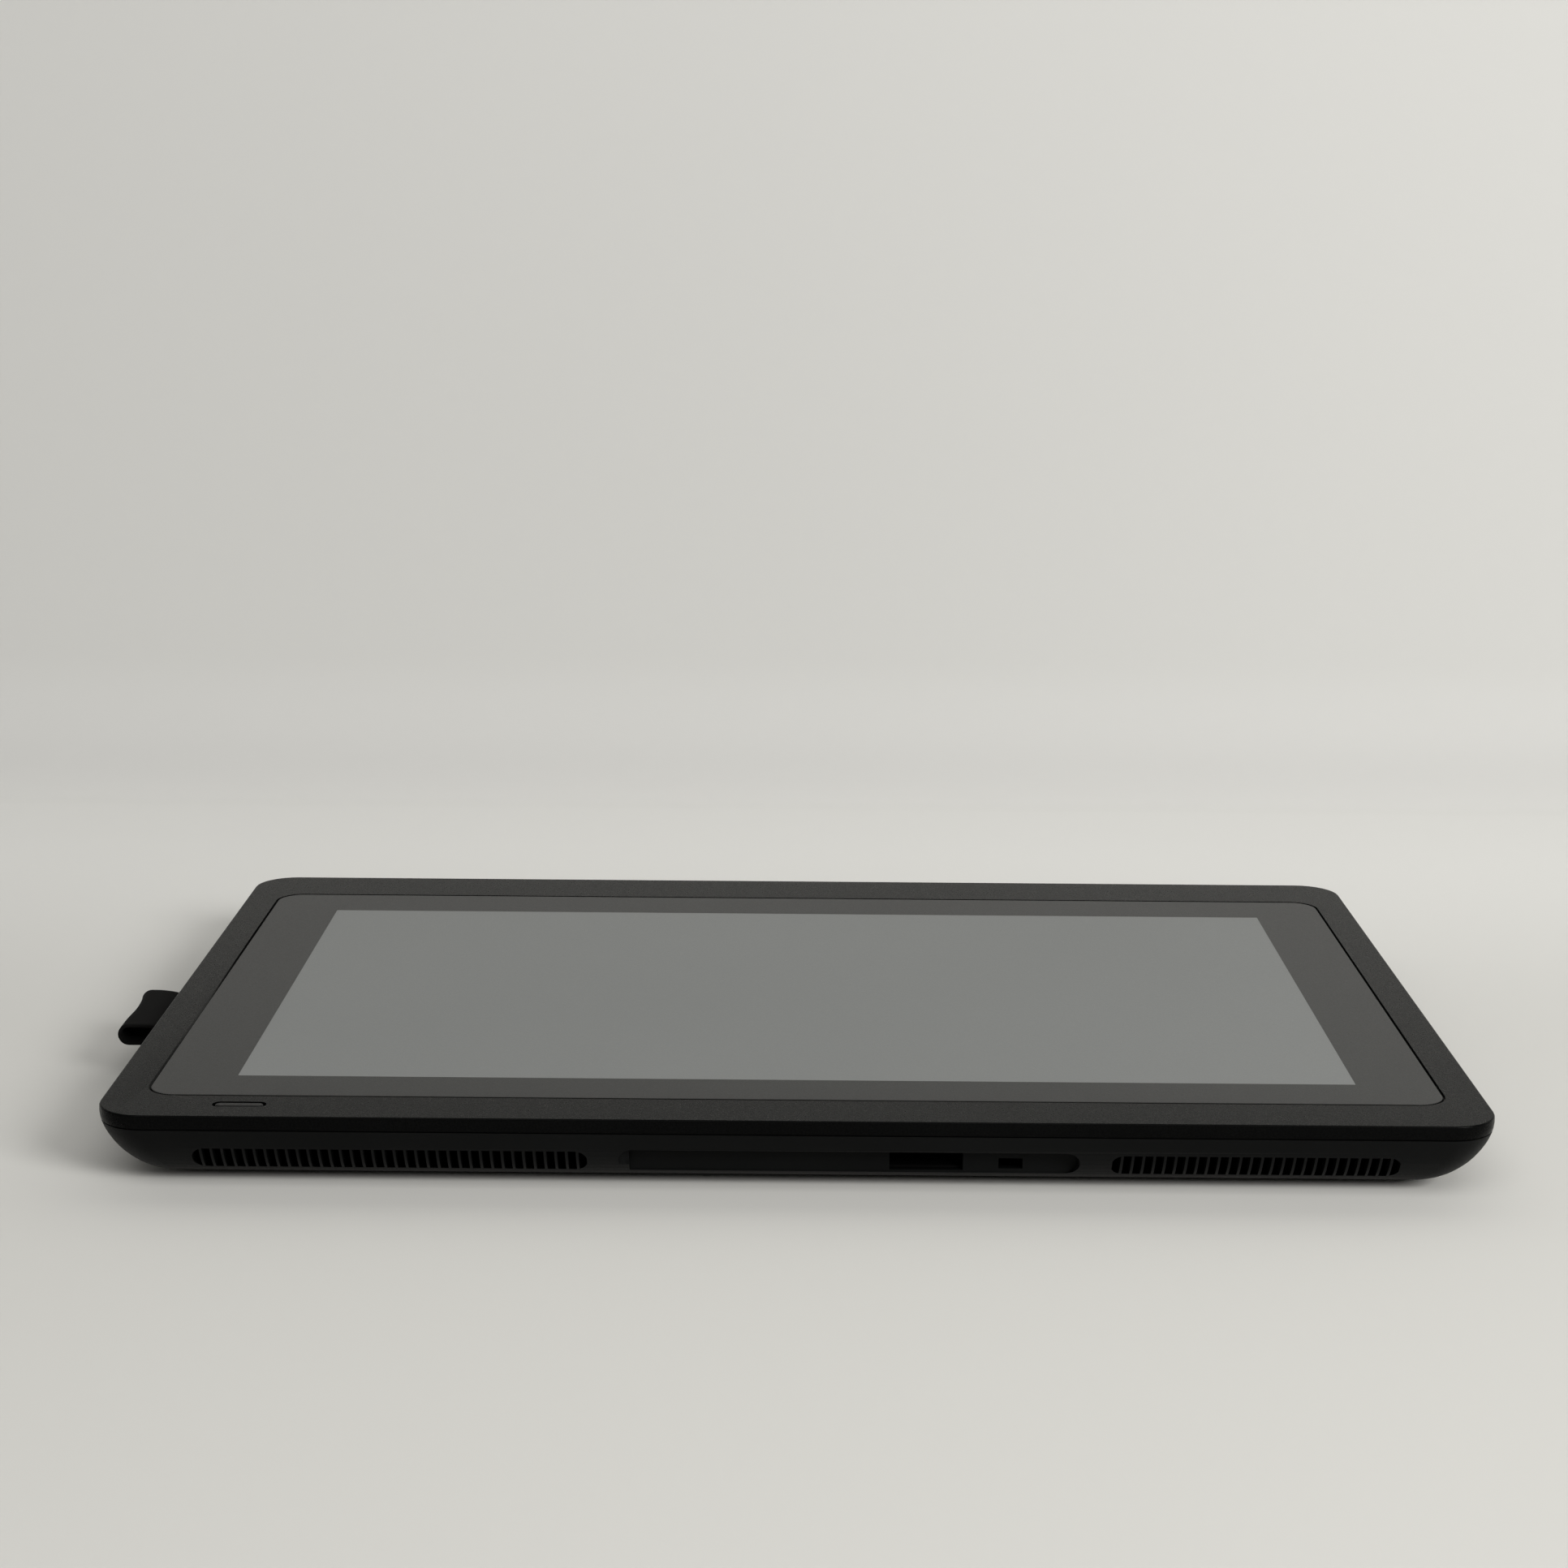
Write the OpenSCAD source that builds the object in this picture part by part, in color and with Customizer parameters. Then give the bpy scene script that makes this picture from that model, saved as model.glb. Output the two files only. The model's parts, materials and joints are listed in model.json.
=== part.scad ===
// Pen display: a drawing tablet with a screen, lying flat with both legs folded in.
// Millimetres. X runs to the user's right, Y away from the user, Z up from the desk.
// The origin is on the desk, under the middle of the case.

/* [Case] */
// Width of the case, left to right
case_w = 418; // [410:1:436]
// Depth of the case, from the user's edge to the far edge
case_d = 280.5; // [277:0.5:295]
// Height from the desk to the glass
case_h = 24.5; // [24.3:0.1:27]
// Height of the feet below the case
foot_h = 3; // [2.5:0.1:3.2]
// Plan radius of the case's corners
corner_r = 14.5; // [13:0.5:18]
// Radius of the upper edge
edge_r = 0.5; // [0.3:0.1:0.8]
// Height of the upright band below the upper face
band_h = 2.1; // [1.8:0.1:2.4]
// How far the curve of the left and right sides runs in under the case
side_run = 16.5; // [15:0.5:19]
// How far the curve of the near and far sides runs in under the case
end_run = 14; // [13.5:0.1:14.4]
// Height of the bezel's edge above the seam
bezel_h = 4.3; // [4.2:0.1:4.6]
// Thickness of the bezel's face
bezel_t = 3.4; // [3.2:0.1:3.6]
// Groove between bezel and rear cover
seam_gap = 0.4; // [0.2:0.05:0.5]
// Wall of the rear cover
wall = 2.2; // [1.8:0.1:2.4]

/* [Screen] */
// Width of the bezel beside the glass, left and right
bezel_side = 12.2; // [11.5:0.1:14]
// Width of the bezel between the glass and the far edge
bezel_far = 19.35; // [18.5:0.05:21]
// Width of the bezel between the glass and the user's edge
bezel_near = 26.05; // [24.5:0.05:30]
// Width of the glass's dark border beside the picture, left and right
border_side = 24.72; // [22:0.02:28]
// Width of the border on the picture's far side
border_far = 18.805; // [17:0.005:21]
// Width of the border on the user's side of the picture
border_near = 22.705; // [20:0.005:25]
// Thickness of the cover glass
glass_t = 1.6; // [1.1:0.1:1.8]
// Corner radius of the cover glass
glass_r = 9; // [5:0.5:12]
// Gap between glass and bezel
glass_gap = 0.5; // [0.3:0.05:0.8]

/* [Power button] */
// Length of the button's cap
button_l = 14.6; // [12:0.1:16.4]
// Width of the button's cap
button_w = 3.2; // [2.8:0.1:3.6]
// Gap round the cap
button_gap = 0.8; // [0.4:0.05:0.9]
// Distance that the button travels
button_travel = 0.5; // [0.3:0.05:0.6]
// Distance of the button's middle from the right-hand side
button_side = 42.4; // [40:0.1:58]
// Distance of the button's middle from the far edge
button_far = 11.25; // [11:0.05:11.5]

/* [Far side] */
// Spacing of the vent slots
vent_pitch = 3.2; // [2.8:0.1:4]
// Width of a vent slot
vent_slot = 2.4; // [1.6:0.1:2.5]
// Height of the vents
vent_h = 7.6; // [6:0.1:7.8]
// Height of the vents' middle above the desk
vent_z = 9.75; // [9.7:0.05:10]
// Distance of a vent's outer end from the side
vent_side = 29; // [28:0.5:50]
// Distance of a vent's inner end from the recess
vent_gap = 9.2; // [8:0.05:16]
// Length of the recess round the port
recess_l = 137.4; // [120:0.1:140]
// Height of the recess
recess_h = 8.4; // [8:0.1:8.6]
// Recess's middle, to the right of the case's middle
recess_x = -15.75; // [-17:0.05:-14]
// Height of the recess's middle above the desk
recess_z = 10.1; // [10:0.05:10.3]
// Depth of the recess's back wall from the case's outline
recess_in = 9; // [8.5:0.1:9.6]
// Length of the shallow scoop at the recess's right-hand end
scoop_l = 3.2; // [2:0.1:5]
// Width of the cable port
port_w = 22; // [18:0.1:22.4]
// Height of the cable port
port_h = 6.2; // [5.6:0.1:6.3]
// Port's middle, to the right of the case's middle
port_x = -38.9; // [-40:0.1:-37]
// Width of the lock slot
lock_w = 7.2; // [6:0.1:7.6]
// Height of the lock slot
lock_h = 3.2; // [2.8:0.1:3.4]
// Lock slot's middle, to the right of the case's middle
lock_x = -64.15; // [-66:0.05:-63.5]
// Height of the lock slot's middle above the desk
lock_z = 8.7; // [8.6:0.05:8.9]

/* [Legs] */
// Width of a leg
leg_w = 74; // [60:1:78]
// Length of a leg from its hinge
leg_l = 70; // [55:1:74]
// Thickness of a leg
leg_t = 6; // [5:0.1:6.2]
// Skin and rib thickness of a leg
leg_skin = 2; // [1.6:0.1:2.4]
// Distance of a leg's middle from the side
leg_side = 85; // [80:0.5:90]
// Distance of the hinges from the far edge
hinge_far = 56.25; // [55:0.25:60]
// Diameter of the hinge pins
pin_d = 3; // [2.4:0.1:3.2]
// Clearance round a leg in its bay
leg_gap = 0.6; // [0.4:0.05:0.8]
// Thickness of the rubber pad at a leg's tip
leg_pad_t = 1.5; // [1:0.1:2]
// Width of the finger notch at a leg's tip
notch_w = 22; // [18:0.5:30]
// Reach of the finger notch beyond the leg's tip
notch_l = 8; // [7:0.1:10]

/* [Pen loop] */
// Length of the loop along the side
loop_l = 40; // [30:0.5:48]
// Reach of the loop beyond the case
loop_reach = 16.3; // [14:0.1:18]
// Height of the loop
loop_h = 7.4; // [7:0.1:8]
// Thickness of the loop's webbing
loop_t = 1.2; // [0.9:0.1:1.3]
// Loop's middle behind the case's middle
loop_y = 16.3; // [10:0.1:20]
// Width of the loop's tab and of its slot
tab_w = 20; // [14:0.5:24]

/* [Inside] */
// Thickness of the glass's adhesive tape
tape_t = 0.3; // [0.2:0.05:0.4]
// Thickness of the dust gasket round the picture
gasket_t = 0.5; // [0.4:0.05:0.7]
// Thickness of the liquid-crystal panel
panel_t = 1.2; // [1:0.05:1.3]
// Panel's border outside the picture
panel_border = 4; // [3.5:0.1:5]
// Bezel window's border outside the picture
window_border = 2.5; // [2:0.1:3]
// Thickness of the stack of diffuser films
film_t = 0.5; // [0.4:0.05:0.6]
// Thickness of the light guide
guide_t = 1.5; // [1.2:0.05:1.6]
// Thickness of the reflector sheet
reflector_t = 0.2; // [0.15:0.01:0.3]
// Sheet thickness of the backlight tray
tray_t = 0.3; // [0.2:0.05:0.4]
// Depth of the light strip at the user's edge of the light guide
strip_d = 3; // [2.4:0.1:4]
// Thickness of the pen sensor board
sensor_t = 0.8; // [0.6:0.05:0.9]
// Sensor board's border outside the picture
sensor_border = 8; // [6:0.1:9]
// Thickness of the shield under the sensor board
shield_t = 0.3; // [0.2:0.05:0.4]
// Thickness of the chassis plate
chassis_t = 1.2; // [1:0.05:1.3]
// Thickness of the main board
board_t = 1.2; // [1:0.05:1.6]
// Height of the main board's standoffs
standoff_h = 4.4; // [4.3:0.05:4.5]
// Diameter of the case screws' shanks
screw_d = 2.4; // [2:0.1:2.6]
// Running and assembly clearance
clear = 0.25; // [0.15:0.01:0.3]

/* [Hidden] */
$fn = 48;

// Heights of the case, from the desk up
under_z = foot_h;
floor_z = under_z + wall;
seam_z = case_h - bezel_h;
// Underside of the bezel's face, inside the skirt that runs down to the seam
plate_z = case_h - bezel_t;
// The side curve ends on the widest line, at the foot of the band
widest_z = case_h - band_h;
side_drop = widest_z - under_z;

// The display stack, from the glass down: each level is the underside of the layer named
glass_z = case_h - glass_t;
ledge_z = glass_z - tape_t;
gasket_z = plate_z - gasket_t;
panel_z = gasket_z - panel_t;
film_z = panel_z - film_t;
guide_z = film_z - guide_t;
reflector_z = guide_z - reflector_t;
tray_z = reflector_z - tray_t;
sensor_z = tray_z - sensor_t;
shield_z = sensor_z - shield_t;
chassis_z = shield_z - chassis_t;
board_top = chassis_z - standoff_h;
board_z = board_top - board_t;

// Glass and picture, inside the bezel
glass_w = case_w - 2 * bezel_side;
glass_d = case_d - bezel_near - bezel_far;
glass_y = (bezel_near - bezel_far) / 2;
active_w = glass_w - 2 * border_side;
active_d = glass_d - border_near - border_far;
screen_y = glass_y + (border_near - border_far) / 2;

// Plan sizes of the stack
panel_w = active_w + 2 * panel_border;
panel_d = active_d + 2 * panel_border;
window_w = active_w + 2 * window_border;
window_d = active_d + 2 * window_border;
panel_r = 0.5;
tray_wall = 0.6;
tray_w = panel_w + 2 * (clear + tray_wall);
tray_d = panel_d + 2 * (clear + tray_wall);
sensor_w = active_w + 2 * sensor_border;
sensor_d = active_d + 2 * sensor_border;
sensor_r = 1.5;
tray_far_y = screen_y + tray_d / 2;
sensor_far_y = screen_y + sensor_d / 2;
sensor_near_y = screen_y - sensor_d / 2;

// The chassis plate reaches under the glass border, and stops short of the button board
chassis_w = glass_w;
chassis_r = 8;
chassis_far_lap = 1;
chassis_near_lap = 11;
chassis_far_y = glass_y + glass_d / 2 + chassis_far_lap;
chassis_near_y = glass_y - glass_d / 2 - chassis_near_lap;
chassis_d = chassis_far_y - chassis_near_y;
chassis_y = (chassis_far_y + chassis_near_y) / 2;
flange_h = 3.6;

// Legs: hinge axis, bay and notch
leg_x = case_w / 2 - leg_side;
hinge_y = case_d / 2 - hinge_far;
leg_z = under_z + 0.2;
hinge_z = leg_z + leg_t / 2;
leg_tip_y = hinge_y - leg_l;
bay_near_y = leg_tip_y - leg_pad_t - leg_gap;
bay_far_y = hinge_y + leg_t / 2 + 1.6;
bay_w = leg_w + 2 * leg_gap;
bay_top = leg_z + leg_t + leg_gap;
hinge_boss_l = 8;
hinge_boss_r = 5.5;
pin_grip = 5;
pin_run = 0.06;
pin_l = bay_w + 2 * pin_grip;
notch_top = bay_top - 0.8;
notch_r = 5;

// Far-side recess: its back wall and the inner face of that wall
recess_y = case_d / 2 - recess_in;
recess_wall_y = recess_y - wall;
port_z = board_z + board_t / 2;

// Main board behind the two leg bays, against the recess
board_right = 45;
board_left = lock_x - 11.35;
board_gap = 1.8;
board_far_y = recess_wall_y - board_gap;
board_near_y = bay_far_y + wall + board_gap;
board_edge = 5;
standoff_d = 5;
lap = 4;
board_holes = [[board_right - board_edge, board_near_y + board_edge],
               [board_left + board_edge, board_near_y + board_edge],
               [board_right - board_edge, chassis_far_y - lap],
               [board_left + board_edge, chassis_far_y - 2 * lap]];

// Screws: size, pilot hole and head
pilot_d = screw_d + 0.1;
hole_d = screw_d + 0.6;
head_d = screw_d + 2.6;
head_h = 1.8;
boss_d = 8;
cover_post_d = 6;
boss_h = 2.8;
boss_top = floor_z + boss_h;
seat_z = under_z + 2.4;
outer_screw_gap = 13;
outer_screw_in = 80.25;
inner_screw_gap = 17;
inner_screw_in = 54;
near_screw_in = 30.25;
outer_screw_x = leg_x + leg_w / 2 + outer_screw_gap;
outer_screw_y = case_d / 2 - outer_screw_in;
inner_screw_x = leg_x - leg_w / 2 - inner_screw_gap;
near_screw_x = 60;
near_screw_y = -case_d / 2 + near_screw_in;
cover_screw_at = [for (x = [-1, 1]) each
    [[x * outer_screw_x, -outer_screw_y], [x * outer_screw_x, outer_screw_y],
     [x * near_screw_x, near_screw_y], [x * inner_screw_x, hinge_y - inner_screw_in]]];
small_d = 2;
small_pilot_d = small_d + 0.1;
small_hole_d = small_d + 0.6;
small_head_d = 4;
small_head_h = 1.3;
bezel_boss_d = 6;
bezel_screw_x = (sensor_w + glass_w) / 4 + 0.5;
middle_screw_x = 95;
bezel_screw_at = [for (x = [-1, 1]) each
    [[x * bezel_screw_x, sensor_near_y], [x * bezel_screw_x, 0],
     [x * bezel_screw_x, sensor_far_y - 11.6],
     [x * middle_screw_x, sensor_near_y - 16], [x * middle_screw_x, sensor_far_y + 6]]];

// Power button, its switch and its board, from the cap down
button_x = case_w / 2 - button_side;
button_y = case_d / 2 - button_far;
cap_top = case_h;
cap_flange_t = 0.8;
cap_flange_top = plate_z - 0.1;
cap_flange_z = cap_flange_top - cap_flange_t;
stem_h = 1.2;
plunger_top = cap_flange_z - stem_h;
plunger_d = 1.8;
plunger_out = button_travel + 0.1;
switch_top = plunger_top - plunger_out;
plunger_z = switch_top - 0.4;
switch_h = 2;
switch_z = switch_top - switch_h;
button_board_t = 1;
button_board_z = switch_z - button_board_t;
button_board_w = 8;
button_post_d = 4.4;
button_post_x = button_l / 2 + 4;
button_post_at = [for (x = [-1, 1]) [button_x + x * button_post_x, button_y]];
button_board_right = button_x + button_post_x + button_post_d / 2;
button_board_left = button_x - button_post_x - 7;
cable_t = 0.25;

// Spare nibs and their puller, kept in the roof of the left bay
nib_d = 1.8;
nib_l = 8;
nib_count = 3;
nib_pitch = 4;
nib_y = hinge_y - 30;
puller_d = 14;
puller_h = 3;
puller_y = hinge_y - 46;
store_top = bay_top + puller_h + 1.1;

// Feet
foot_sink = 0.8;
front_foot = [70, 9];
front_foot_at = [110, -case_d / 2 + 28.25];
rear_foot = [44, 10];
rear_foot_at = [leg_x, case_d / 2 - 34.25];

// Pen loop: the tab's height is the middle of the loop's
loop_z = 16;
tab_t = 2 * loop_t;
clip_t = 3.4;
clip_h = 2.4 + tab_t / 4;

// How far the outline is drawn in at a height, for a side whose curve runs in by run.
// The curve is a quarter of a superellipse: upright at the widest line, flat at the underside.
curve_power = 1.6;
function inset_at(z, run, skin) =
    let (t = min(1, max(0, (widest_z - z) / (side_drop - skin))))
    skin + run * (1 - pow(1 - pow(t, curve_power), 1 / curve_power));

// One ring of the case: a rounded rectangle of the given half sizes and corner radius
function ring(hx, hy, r, z, steps) = [
    for (c = [0:3], k = [0:steps])
        let (a = 90 * (c + k / steps), sx = (c == 0 || c == 3) ? 1 : -1, sy = c < 2 ? 1 : -1)
        [sx * (hx - r) + r * cos(a), sy * (hy - r) + r * sin(a), z]];

// The corners tighten a little towards the underside
corner_draw = 0.4;
function case_ring(z, skin, steps) =
    let (ix = inset_at(z, side_run, skin), iy = inset_at(z, end_run, skin))
    ring(case_w / 2 - ix, case_d / 2 - iy, corner_r - skin - corner_draw * (ix - skin), z, steps);
// The band leans in a little, up to the rounded upper edge
band_lean = 0.1;
function edge_ring(turn, steps) =
    let (in = band_lean + edge_r * (1 - cos(turn)))
    ring(case_w / 2 - in, case_d / 2 - in, corner_r - in, case_h - edge_r * (1 - sin(turn)), steps);

// A closed solid through rings of equal counts, listed from the bottom up
module loft(rings) {
    n = len(rings[0]);
    last = len(rings) - 1;
    sides = [for (i = [0:last - 1], j = [0:n - 1])
        [(i + 1) * n + j, (i + 1) * n + (j + 1) % n, i * n + (j + 1) % n, i * n + j]];
    polyhedron([for (r = rings) each r],
        concat([[for (j = [0:n - 1]) j]], sides, [[for (j = [n - 1:-1:0]) last * n + j]]));
}

// The whole case as one solid, from the underside to the upper edge
case_steps = 14;
edge_steps = 3;
corner_steps = 8;
module case_solid() {
    curve = [for (k = [0:case_steps])
        case_ring(widest_z - side_drop * pow(cos(90 * k / case_steps), 2 / curve_power), 0, corner_steps)];
    edge = [for (k = [0:edge_steps]) edge_ring(90 * k / edge_steps, corner_steps)];
    loft(concat(curve, edge));
}

// The hollow inside the rear cover, up to the seam
hollow_steps = 8;
hollow_corner_steps = 5;
module case_hollow() {
    rise = seam_z - floor_z;
    loft(concat([for (k = [0:hollow_steps])
        case_ring(floor_z + rise * (1 - cos(90 * k / hollow_steps)), wall, hollow_corner_steps)],
        [for (r = [case_ring(seam_z, wall, hollow_corner_steps)]) [for (p = r) p + [0, 0, bezel_h]]]));
}

module rounded_rect(w, d, r) {
    square([w - 2 * r, d], center = true);
    square([w, d - 2 * r], center = true);
    for (x = [-1, 1], y = [-1, 1])
        translate([x * (w / 2 - r), y * (d / 2 - r)]) circle(r);
}

// How far a cut runs past the face that it goes through
cut = 1;

// A flat sheet whose underside is at z
module sheet(w, d, r, z, t) {
    translate([0, 0, z]) linear_extrude(t) rounded_rect(w, d, r);
}

// A slot shape, l long and w wide, with round ends
module pill(l, w) {
    square([l - w, w], center = true);
    for (x = [-1, 1]) translate([x * (l - w) / 2, 0]) circle(d = w);
}

// A pill standing in the far side and running along Y
module far_pill(x, z, l, h, y0, y1) {
    translate([x, y1, z]) rotate([90, 0, 0]) linear_extrude(y1 - y0) pill(l, h);
}

module post(at, d, z0, z1) {
    translate([at[0], at[1], z0]) cylinder(d = d, h = z1 - z0);
}

// A screw driven upwards, with its head below z
module screw(at, z, d, length, head, head_high) {
    post(at, d, z, z + length);
    difference() {
        post(at, head, z - head_high, z);
        post(at, d, z - head_high - 1, z - head_high / 2);
    }
}

module centred_box(x, y, z0, z1, w, d) {
    translate([x - w / 2, y - d / 2, z0]) cube([w, d, z1 - z0]);
}

// Front bezel: glass recess, ledge, window, screw bosses, skirt and the tongue behind the seam
tongue_t = 1.4;
tongue_h = 1.2;
tongue_in = inset_at(seam_z - tongue_h, side_run, wall) + 2 * clear;
module tongue_ring(in) {
    rounded_rect(case_w - 2 * in, case_d - 2 * in, corner_r - in);
}
module front_bezel() {
    color([0.16, 0.16, 0.165]) difference() {
        union() {
            difference() {
                union() {
                    intersection() {
                        case_solid();
                        sheet(case_w + 2 * cut, case_d + 2 * cut, corner_r, seam_z, bezel_h + cut);
                    }
                    translate([0, 0, seam_z - tongue_h]) linear_extrude(tongue_h + cut / 2)
                        tongue_ring(tongue_in);
                }
                translate([0, 0, seam_z - tongue_h - cut]) linear_extrude(plate_z - seam_z + tongue_h + cut)
                    tongue_ring(tongue_in + tongue_t);
            }
            for (at = bezel_screw_at) post(at, bezel_boss_d, shield_z, plate_z + cut / 2);
            for (at = button_post_at) post(at, button_post_d, switch_z, plate_z + cut / 2);
        }
        translate([0, glass_y, 0])
            sheet(glass_w + 2 * glass_gap, glass_d + 2 * glass_gap, glass_r + glass_gap, ledge_z, bezel_h);
        translate([0, screen_y, 0]) sheet(window_w, window_d, 1, plate_z - cut, bezel_t + cut);
        translate([button_x, button_y, plate_z - cut]) linear_extrude(bezel_t + 2 * cut)
            pill(button_l + 2 * button_gap, button_w + 2 * button_gap);
        for (at = bezel_screw_at) post(at, small_pilot_d, shield_z - cut, plate_z - 0.8);
        for (at = button_post_at) post(at, small_pilot_d, switch_z - cut, plate_z);
    }
}

module cover_glass() {
    color([0.3, 0.31, 0.31]) translate([0, glass_y, 0])
        sheet(glass_w, glass_d, glass_r, glass_z, glass_t);
}

// Tape round the edge of the glass, on the bezel's ledge
tape_w = 9;
module glass_tape() {
    color([0.05, 0.05, 0.05]) translate([0, glass_y, ledge_z]) linear_extrude(tape_t) difference() {
        rounded_rect(glass_w - 1, glass_d - 1, glass_r - 0.5);
        rounded_rect(glass_w - 1 - 2 * tape_w, glass_d - 1 - 2 * tape_w, 2);
    }
}

module dust_gasket() {
    color([0.1, 0.1, 0.1]) translate([0, screen_y, gasket_z]) linear_extrude(gasket_t) difference() {
        rounded_rect(panel_w, panel_d, 1);
        rounded_rect(window_w, window_d, 1);
    }
}

module lcd_panel() {
    color([0.5, 0.5, 0.48]) translate([0, screen_y, 0])
        sheet(panel_w, panel_d, panel_r, panel_z, panel_t);
}

module diffuser_films() {
    color([0.92, 0.92, 0.9]) translate([0, screen_y, 0])
        sheet(panel_w, panel_d, panel_r, film_z, film_t);
}

// The light guide leaves room for the strip of lights along the user's edge
module light_guide() {
    color([0.85, 0.9, 0.92]) translate([0, screen_y + strip_d / 2, 0])
        sheet(panel_w, panel_d - strip_d, panel_r, guide_z, guide_t);
}

module reflector_sheet() {
    color([0.96, 0.96, 0.96]) translate([0, screen_y, 0])
        sheet(panel_w, panel_d, panel_r, reflector_z, reflector_t);
}

led_count = 36;
led_w = 3;
module led_strip() {
    near_y = screen_y - panel_d / 2;
    carrier_d = strip_d * 0.6;
    color([0.9, 0.85, 0.4]) {
        centred_box(0, near_y + carrier_d / 2, guide_z, film_z, panel_w - 4, carrier_d);
        pitch = (panel_w - 8) / led_count;
        for (k = [0:led_count - 1])
            centred_box((k - (led_count - 1) / 2) * pitch, near_y + carrier_d + strip_d / 8,
                guide_z, film_z - 0.2, led_w, strip_d / 4);
    }
}

module backlight_tray() {
    color([0.72, 0.73, 0.74]) translate([0, screen_y, 0]) difference() {
        sheet(tray_w, tray_d, 1, tray_z, gasket_z - tray_z);
        sheet(tray_w - 2 * tray_wall, tray_d - 2 * tray_wall, panel_r, reflector_z,
            gasket_z - reflector_z + cut);
    }
}

module pen_sensor_board() {
    color([0.1, 0.35, 0.2]) translate([0, screen_y, 0])
        sheet(sensor_w, sensor_d, sensor_r, sensor_z, sensor_t);
}

module sensor_shield() {
    color([0.78, 0.78, 0.76]) translate([0, screen_y, 0])
        sheet(sensor_w, sensor_d, sensor_r, shield_z, shield_t);
}

// Chassis plate: pressed sheet with turned-down edges, lightening holes and standoffs
flex_slot = [30, 2.4];
lcd_flex_x = -8;
sensor_flex_x = board_right - flex_slot[0] / 2 - 2;
flex_y = sensor_far_y + 1.9;
lighten_d = 26;
lighten_pitch = 44;
lighten_y = sensor_near_y + 38;
module chassis_plate() {
    z0 = chassis_z - cut;
    mid = chassis_z + chassis_t / 2;
    z1 = chassis_z + chassis_t + cut;
    color([0.62, 0.63, 0.65]) difference() {
        union() {
            translate([0, chassis_y, 0]) sheet(chassis_w, chassis_d, chassis_r, chassis_z, chassis_t);
            for (x = [-1, 1])
                centred_box(x * (chassis_w - chassis_t) / 2, chassis_y, chassis_z - flange_h, mid,
                    chassis_t, chassis_d - 2 * chassis_r);
            centred_box(0, chassis_near_y + chassis_t / 2, chassis_z - flange_h, mid,
                chassis_w - 2 * chassis_r, chassis_t);
            for (at = board_holes) post(at, standoff_d, board_top, mid);
            for (at = cover_screw_at) post(at, cover_post_d, boss_top, mid);
        }
        for (at = board_holes) post(at, small_pilot_d, board_top - cut, z1);
        for (at = cover_screw_at) post(at, pilot_d, boss_top - cut, z1);
        for (at = bezel_screw_at) post(at, small_hole_d, z0, z1);
        for (x = [lcd_flex_x, sensor_flex_x]) centred_box(x, flex_y, z0, z1, flex_slot[0], flex_slot[1]);
        for (x = [-3:3]) post([x * lighten_pitch, lighten_y], lighten_d, z0, z1);
    }
}

module bezel_screws() {
    color([0.55, 0.55, 0.56]) for (at = bezel_screw_at)
        screw(at, chassis_z, small_d, chassis_t + 4, small_head_d, small_head_h);
}

// Main board, notched for the cable socket
socket_w = port_w + 2.4;
socket_h = port_h;
socket_d = 12;
module main_board() {
    color([0.05, 0.3, 0.18]) difference() {
        translate([board_left, board_near_y, board_z])
            cube([board_right - board_left, board_far_y - board_near_y, board_t]);
        centred_box(port_x, recess_wall_y, board_z - cut, board_top + cut, socket_w + 2 * clear,
            2 * (socket_d + clear));
        for (at = board_holes) post(at, small_hole_d, board_z - cut, board_top + cut);
    }
}

// Parts on the main board: sockets for the flat cables above, chips and coils below
flex_plug_h = 1;
flex_plug_d = 3;
main_chip = [16, 16, 1.4];
side_chip = [11, 9, 1.2];
coil = [6, 6, 2];
coil_pitch = 8;
cap = [3.6, 5, 1.6];
cap_pitch = 6;
part_row = 8;
module chip(x, y, size) {
    centred_box(x, y, board_z - size[2], board_z, size[0], size[1]);
}
module board_parts() {
    mid_x = (board_left + board_right) / 2;
    mid_y = (board_near_y + board_far_y) / 2 + main_chip[1] / 4;
    row_y = board_near_y + part_row;
    color([0.08, 0.08, 0.09]) {
        for (x = [lcd_flex_x, sensor_flex_x])
            centred_box(x, flex_y, board_top, board_top + flex_plug_h, flex_slot[0] - flex_plug_d,
                flex_plug_d);
        chip(mid_x, mid_y, main_chip);
        chip(mid_x + 1.8 * main_chip[0], mid_y, side_chip);
        for (k = [0:3]) chip(mid_x - (k + 2) * coil_pitch, row_y, coil);
        for (k = [0:5]) chip(mid_x + k * cap_pitch, row_y, cap);
    }
}

module board_screws() {
    color([0.6, 0.6, 0.6]) for (at = board_holes)
        screw(at, board_z, small_d, board_t + standoff_h - 0.4, small_head_d, small_head_h);
}

// Cable socket: a shell open towards the port, with its contact tongue and two soldered ears
module cable_socket() {
    shell_wall = 0.6;
    back_wall = 2;
    ear = [2.8, 6, 0.8];
    mid_y = recess_wall_y - socket_d / 2;
    low = port_z - socket_h / 2;
    high = port_z + socket_h / 2;
    color([0.25, 0.25, 0.26]) {
        difference() {
            centred_box(port_x, mid_y, low, high, socket_w, socket_d);
            centred_box(port_x, recess_wall_y, low + shell_wall, high - shell_wall,
                socket_w - 2 * shell_wall, 2 * (socket_d - back_wall));
        }
        centred_box(port_x, recess_wall_y - socket_d + 1.5 * back_wall, port_z - 0.5, port_z + 0.5,
            port_w * 0.7, back_wall);
        for (x = [-1, 1])
            centred_box(port_x + x * (socket_w + ear[0]) / 2, mid_y, board_top, board_top + ear[2],
                ear[0], ear[1]);
    }
}

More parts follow.
